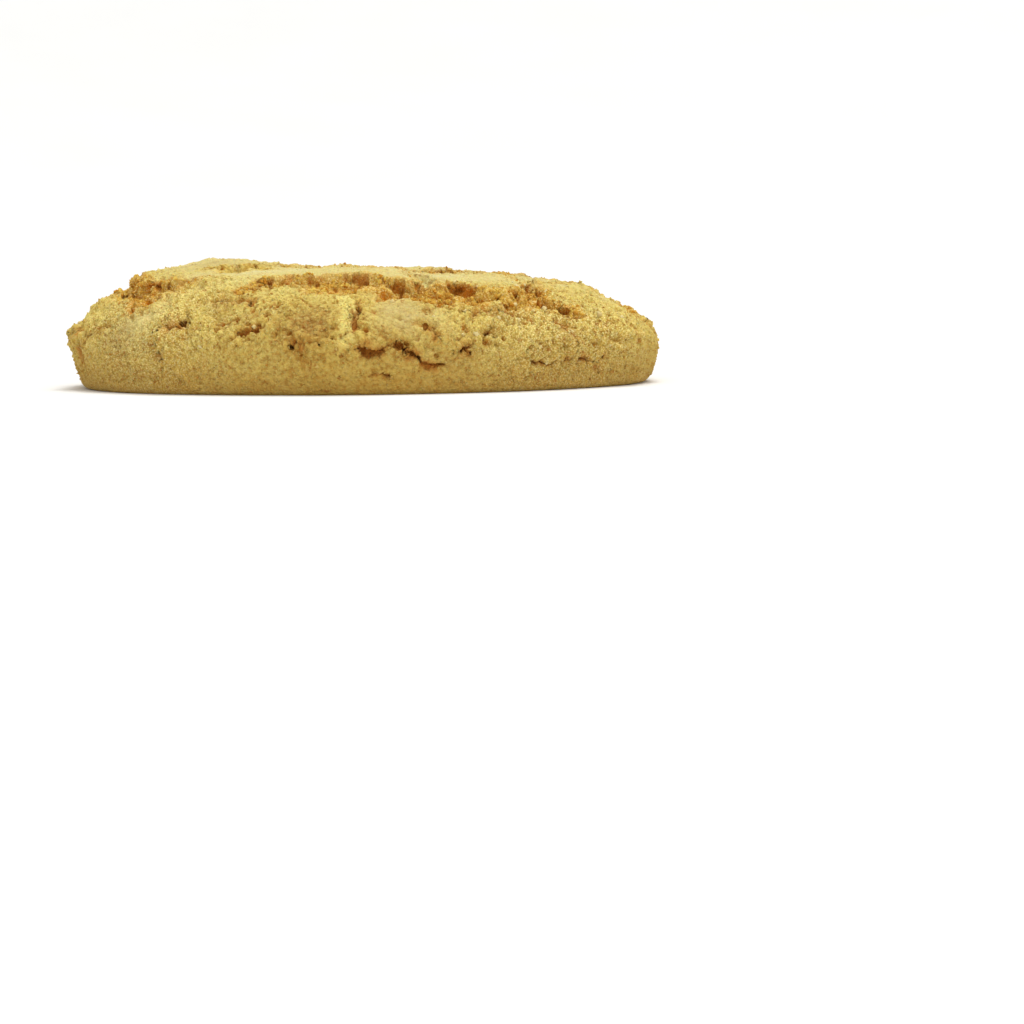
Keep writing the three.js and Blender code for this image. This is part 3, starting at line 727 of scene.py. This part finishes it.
def baked_oat_dough():
    """Oat and butter dough, baked dry: a matte, sandy, pale tan skin over yellower crumb. The eye
    sees fine grain, dark pinholes painted as spots of shade, amber in the torn places and painted brown
    shade in the splits. Hollows and creases carry painted warm shade and lump crests painted light; the
    foot and the crust beside the splits are darker, partly browning and partly painted shade."""
    material, tree = new_material("baked_oat_dough")
    place = add(tree, "ShaderNodeTexCoord", {}).outputs["Object"]
    torn, crumbly, split, hollow, crest, fresh, browner, plate, sandy, tint = (
        add(tree, "ShaderNodeAttribute", {}, attribute_name=name).outputs["Fac"]
        for name in ("torn", "crumbly", "split", "hollow", "crest", "fresh", "browner", "plate",
                     "sandy", "tint"))

    # Broad unevenness of the bake, and blotches of some millimetres
    cloud = add(tree, "ShaderNodeTexNoise", {"Vector": place, "Scale": 1 / (9 * MM), "Detail": 3.0})
    patch = add(tree, "ShaderNodeMapRange", {"Value": cloud, "From Min": 0.35, "From Max": 0.65})
    blotch = add(tree, "ShaderNodeTexNoise", {"Vector": place, "Scale": 1 / (2.5 * MM), "Detail": 4.0})
    spot = add(tree, "ShaderNodeMapRange", {"Value": blotch, "From Min": 0.4, "From Max": 0.68})

    # Meal of about half a millimetre, each grain paler or darker, with pinholes a little further apart
    # that are painted as dark spots of shade
    grain = add(tree, "ShaderNodeTexVoronoi", {"Vector": place, "Scale": 1 / (0.42 * MM)})
    tone = add(tree, "ShaderNodeTexNoise", {"Vector": place, "Scale": 1 / (0.5 * MM), "Detail": 2.0})
    fleck = add(tree, "ShaderNodeMapRange", {"Value": tone, "From Min": 0.5, "From Max": 0.72})
    shade = add(tree, "ShaderNodeMapRange", {"Value": tone, "From Min": 0.5, "From Max": 0.28})
    steam = add(tree, "ShaderNodeTexNoise", {"Vector": place, "Scale": 1 / (0.8 * MM), "Detail": 1.5})
    hole = add(tree, "ShaderNodeMapRange", {"Value": steam, "From Min": 0.67, "From Max": 0.74})

    # Flour and fine sugar. The real grit is finer still: this is the finest that shows in the picture.
    sand = add(tree, "ShaderNodeTexNoise", {"Vector": place, "Scale": 1 / (0.22 * MM), "Detail": 2.0})
    dark_speck = add(tree, "ShaderNodeMapRange", {"Value": sand, "From Min": 0.5, "From Max": 0.3,
                     "To Max": sandy})
    pale_speck = add(tree, "ShaderNodeMapRange", {"Value": sand, "From Min": 0.51, "From Max": 0.68,
                     "To Max": sandy})
    pale_grain = add(tree, "ShaderNodeMapRange", {"Value": tint, "From Min": 0.5, "From Max": 1.0})
    dark_grain = add(tree, "ShaderNodeMapRange", {"Value": tint, "From Min": 0.5, "From Max": 0.0})

    # Depths of the painted shade in the hollows, and the foot of the side, darker partly from baking on
    # the tray and partly as painted shade where less light reaches it
    height = add(tree, "ShaderNodeSeparateXYZ", {"Vector": place}).outputs["Z"]
    deep_shade = add(tree, "ShaderNodeMapRange", {"Value": hollow, "From Min": 0.6, "From Max": 1.0})
    foot_browning_and_shade = add(tree, "ShaderNodeMapRange", {"Value": height, "From Min": 9 * MM, "From Max": 1 * MM})

    layers = [  # each laid over the one before: where, its colour and how thickly
        (patch, "#CEB354", 1.0),
        (spot, "#BC9036", 0.5),
        # Browning, partly painted shade by the cracks and holes of the front
        (browner, "#8C5E20", 0.85),
        (crumbly, "#D0A63A", 0.4),
        (torn, "#C8912A", 0.9),
        # Painted light on the crests of lumps
        (crest, "#DFC866", 0.6),
        (fresh, "#E8D67A", 0.95),
        # Painted warm shade in hollows, deeper where they are deepest
        (hollow, "#C87A16", 0.95),
        (deep_shade, "#B0620E", 0.5),
        (fleck, "#E8D27C", 0.5),
        (shade, "#A26818", 0.6),
        (pale_grain, "#EAD684", 0.6),
        (dark_grain, "#A46818", 0.65),
        (dark_speck, "#9C6C20", 0.55),
        (pale_speck, "#FAEBA0", 1.0),
        (torn, "#C88016", 0.3),
        # Painted warm shade in the hollows again, over the grain
        (hollow, "#CA8214", 0.5),
        (deep_shade, "#B8680C", 0.4),
        (plate, "#DBCF90", 0.8),
        # Browning again, partly painted shade
        (browner, "#94682A", 0.3),
        # Darker towards the foot: browning on the tray and painted shade
        (foot_browning_and_shade, "#9F6F24", 0.6),
        # Pinholes painted as dark spots of shade
        (hole, "#955514", 0.6),
        # Painted brown shade inside splits and fissures
        (split, "#AE6819", 0.9),
    ]
    colour = linear("#D3C36C")
    for mask, paint, most in layers:
        share = add(tree, "ShaderNodeMath", {"Value": mask, "Value_001": most}, operation="MULTIPLY")
        colour = add(tree, "ShaderNodeMix", {"Factor_Float": share, "A_Color": colour,
                     "B_Color": linear(paint)}, data_type="RGBA")
        colour = next(s for s in colour.outputs if s.identifier == "Result_Color")

    rough = add(tree, "ShaderNodeBump", {"Height": sand, "Strength": 1.0, "Distance": 0.1 * MM})
    grainy = add(tree, "ShaderNodeBump", {"Height": grain.outputs["Distance"], "Normal": rough,
                 "Strength": 1.0, "Distance": 0.2 * MM}, invert=True)
    sheen = add(tree, "ShaderNodeMapRange", {"Value": torn, "To Min": 0.35, "To Max": 0.1})
    dough = add(tree, "ShaderNodeBsdfPrincipled", {"Base Color": colour, "Normal": grainy,
                "Roughness": 0.88, "IOR": 1.45, "Specular IOR Level": sheen,
                "Subsurface Weight": 0.25, "Subsurface Scale": 0.6 * MM,
                "Subsurface Radius": (1.0, 0.6, 0.25)})
    add(tree, "ShaderNodeOutputMaterial", {"Surface": dough})
    return material


def broken_crumb():
    """The same dough torn open in the oven: dry, open crumb, yellow to amber from chunk to chunk, with
    amber flecks.
    """
    material, tree = new_material("broken_crumb")
    place = add(tree, "ShaderNodeTexCoord", {}).outputs["Object"]
    tint = add(tree, "ShaderNodeAttribute", {}, attribute_name="tint").outputs["Fac"]
    crumb = add(tree, "ShaderNodeMix", {"Factor_Float": tint, "A_Color": linear("#BC842A"),
                "B_Color": linear("#E2C25C")}, data_type="RGBA")
    crumb = next(s for s in crumb.outputs if s.identifier == "Result_Color")
    grain = add(tree, "ShaderNodeTexNoise", {"Vector": place, "Scale": 1 / (0.4 * MM), "Detail": 2.0})
    fleck = add(tree, "ShaderNodeMapRange", {"Value": grain, "From Min": 0.4, "From Max": 0.75,
                "To Max": 0.5})
    colour = add(tree, "ShaderNodeMix", {"Factor_Float": fleck, "A_Color": crumb,
                 "B_Color": linear("#B06A18")}, data_type="RGBA")
    colour = next(s for s in colour.outputs if s.identifier == "Result_Color")
    rough = add(tree, "ShaderNodeBump", {"Height": grain, "Strength": 0.7, "Distance": 0.15 * MM})
    dough = add(tree, "ShaderNodeBsdfPrincipled", {"Base Color": colour, "Normal": rough,
                "Roughness": 0.9, "IOR": 1.45, "Specular IOR Level": 0.12,
                "Subsurface Weight": 0.25, "Subsurface Scale": 0.5 * MM,
                "Subsurface Radius": (1.0, 0.6, 0.25)})
    add(tree, "ShaderNodeOutputMaterial", {"Surface": dough})
    return material


def coarse_sugar():
    """Coarse sugar, crushed: pale, faintly clear grains with a dull sparkle."""
    material, tree = new_material("coarse_sugar")
    place = add(tree, "ShaderNodeTexCoord", {}).outputs["Object"]
    frost = add(tree, "ShaderNodeTexNoise", {"Vector": place, "Scale": 1 / (0.5 * MM), "Detail": 2.0})
    colour = add(tree, "ShaderNodeMix", {"Factor_Float": frost, "A_Color": linear("#C8AE68"),
                 "B_Color": linear("#DAC688")}, data_type="RGBA")
    colour = next(s for s in colour.outputs if s.identifier == "Result_Color")
    sugar = add(tree, "ShaderNodeBsdfPrincipled", {"Base Color": colour, "Roughness": 0.5,
                "IOR": 1.54, "Subsurface Weight": 0.5, "Subsurface Scale": 0.5 * MM,
                "Subsurface Radius": (1.0, 0.9, 0.7)})
    add(tree, "ShaderNodeOutputMaterial", {"Surface": sugar})
    return material


def backdrop_paper():
    """Matte white background paper: even and pale, with a barely seen mottle."""
    material, tree = new_material("backdrop_paper")
    place = add(tree, "ShaderNodeTexCoord", {}).outputs["Object"]
    mottle = add(tree, "ShaderNodeTexNoise", {"Vector": place, "Scale": 1 / (60 * MM), "Detail": 2.0})
    colour = add(tree, "ShaderNodeMix", {"Factor_Float": mottle, "A_Color": linear("#EFEEEA"),
                 "B_Color": linear("#F4F3F0")}, data_type="RGBA")
    colour = next(s for s in colour.outputs if s.identifier == "Result_Color")
    paper = add(tree, "ShaderNodeBsdfPrincipled", {"Base Color": colour, "Roughness": 0.9,
                "Specular IOR Level": 0.2})
    add(tree, "ShaderNodeOutputMaterial", {"Surface": paper})
    return material


# ---------------------------------------------------------------- studio

# A round paper bowl: its flat middle and its bend's radius in metres, and how far it bends in degrees
SWEEP = {"flat": 0.45, "rings": (0.2, 0.6), "bend": 2.0, "turn": 45, "sides": 96, "steps": 12}
LIGHTS = [  # place, the side of the square and the power, each turned to the cookie
    {"name": "overhead_softbox", "place": (0.35, 0.15, 2.4), "side": 1.3, "power": 42.0},
    {"name": "front_softbox", "place": (0.1, -1.4, 0.8), "side": 1.2, "power": 8.0},
]
AIR = {"colour": "#F6F8FC", "strength": 0.5}  # the faint even light from all round
LENS = 126.1  # millimetres, on a sensor this wide:
SENSOR = 36
CAMERA_PLACE = (0, -0.49, 0.01819)
PICTURE_MIDDLE = (0.02008, 0, -0.01783)  # what the middle of the picture looks at
ROLL = -0.65  # degrees: the right-hand side stands a little higher in the picture


def add_sweep():
    """Floor that rises very gently all round, so that no edge shows behind the cookie."""
    turn = np.radians(np.linspace(0, SWEEP["turn"], SWEEP["steps"]))
    rise = SWEEP["flat"] + SWEEP["bend"] * np.sin(turn)
    radii = np.concatenate([SWEEP["flat"] * np.array(SWEEP["rings"]), rise])
    heights = np.concatenate([[0, 0], SWEEP["bend"] * (1 - np.cos(turn))])
    bearings = ring_bearings(SWEEP["sides"], 0)
    points = [(0, 0, 0)] + [(r * math.cos(b), r * math.sin(b), h)
                            for r, h in zip(radii, heights) for b in bearings]
    faces = fan(0, (1, SWEEP["sides"], 0))
    for n in range(len(radii) - 1):
        inner, outer = 1 + n * SWEEP["sides"], 1 + (n + 1) * SWEEP["sides"]
        for s in range(SWEEP["sides"]):
            following = (s + 1) % SWEEP["sides"]
            faces.append((inner + s, outer + s, outer + following, inner + following))
    mesh = bpy.data.meshes.new("paper_sweep")
    mesh.from_pydata(points, [], faces)
    mesh.shade_smooth()
    mesh.materials.append(backdrop_paper())
    floor = bpy.data.objects.new("paper_sweep", mesh)
    bpy.context.scene.collection.objects.link(floor)


def add_lights():
    for light in LIGHTS:
        lamp = bpy.data.lights.new(light["name"], "AREA")
        lamp.size = light["side"]
        lamp.energy = light["power"]
        holder = bpy.data.objects.new(light["name"], lamp)
        holder.location = light["place"]
        holder.rotation_euler = (-Vector(light["place"])).to_track_quat("-Z", "Y").to_euler()
        bpy.context.scene.collection.objects.link(holder)
    world = bpy.data.worlds.new("studio_air")
    world.use_nodes = True
    background = world.node_tree.nodes["Background"]
    background.inputs["Color"].default_value = linear(AIR["colour"])
    background.inputs["Strength"].default_value = AIR["strength"]
    bpy.context.scene.world = world


def add_camera():
    lens = bpy.data.cameras.new("picture")
    lens.lens = LENS
    lens.sensor_width = SENSOR
    lens.clip_start = 10 * MM
    camera = bpy.data.objects.new("picture", lens)
    camera.location = CAMERA_PLACE
    aim = (Vector(PICTURE_MIDDLE) - Vector(CAMERA_PLACE)).to_track_quat("-Z", "Y")
    camera.rotation_mode = "QUATERNION"
    camera.rotation_quaternion = aim @ Quaternion((0, 0, 1), math.radians(ROLL))
    bpy.context.scene.collection.objects.link(camera)
    bpy.context.scene.camera = camera


# ---------------------------------------------------------------- the whole picture

add_camera()
add_lights()
add_sweep()
bpy.context.scene.view_settings.view_transform = "Standard"

points, triangles, looks = crust_mesh()
cookie = add_piece("crust", points, triangles, looks, baked_oat_dough(), CRUST_TRIANGLES)
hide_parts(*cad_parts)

normals = point_normals(points, triangles)
above = smoothstep(points[:, 2], *CRUMB_FROM)
heaps = smoothstep(noise(points.T, HEAPS["size"], LAYER["heaps"]), *HEAPS["edge"])
solid_crumb = looks["torn"] * heaps * (1 - looks["hollow"]) ** SHELTER
off_middle = np.hypot(points[:, 0], points[:, 1])
solid_crumb *= smoothstep(off_middle, *OUTWARDS["from"]) + OUTWARDS["inside"]
crumb_material = broken_crumb()
add_piece("fine_crumb", *scatter(FINE_CRUMB, above * solid_crumb, points, normals, {}),
          crumb_material, smooth=False)
add_piece("coarse_crumb", *scatter(COARSE_CRUMB, above * solid_crumb, points, normals, {}),
          crumb_material)
outside = smoothstep(points[:, 2], *SAND_FROM)
for look, fewer in SAND_FEWER.items():
    outside *= 1 - fewer * looks[look]
add_piece("sandy_grains", *scatter(SAND, outside, points, normals, looks),
          cookie.data.materials[0], smooth=False)
off_patch = np.hypot(*(points[:, :2] - SUGAR_PATCH["place"]).T) / SUGAR_PATCH["reach"]
denser = 1 + SUGAR_PATCH["times"] * np.exp(-off_patch**2)
add_piece("sugar_grains", *scatter(SUGAR, above * denser, points, normals, {}), coarse_sugar())
